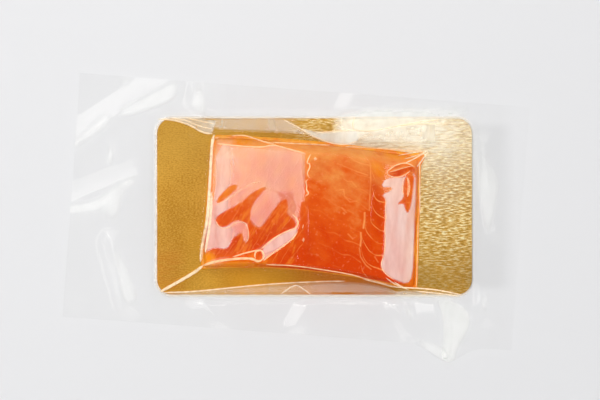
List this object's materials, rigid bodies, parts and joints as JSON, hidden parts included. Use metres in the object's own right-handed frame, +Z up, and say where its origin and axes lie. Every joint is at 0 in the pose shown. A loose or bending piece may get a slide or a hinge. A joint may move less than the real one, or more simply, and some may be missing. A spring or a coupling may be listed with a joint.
{
  "type": "vacuum pack of salted salmon fillet",
  "caption": "Salted salmon fillet on a gold card board, sealed in a clear vacuum pouch with a wide flat skirt.",
  "frame": {"origin": "flat underside of the pouch, under the middle of the board", "axes": "+X along the board's length towards the fillet's slanting cut, +Y towards the fish's back, +Z up out of the pack's shown side"},
  "size_m": [0.2968, 0.1828, 0.0237],
  "materials": {
    "fish": "moist orange-pink flesh with pale fat lines",
    "gold_card": "gold foil on card, finely embossed",
    "film": "clear glossy film with stiff wrinkles"
  },
  "bodies": {
    "root": {"board": "gold_card", "fillet": "fish", "pouch": "film"}
  },
  "joints": []
}
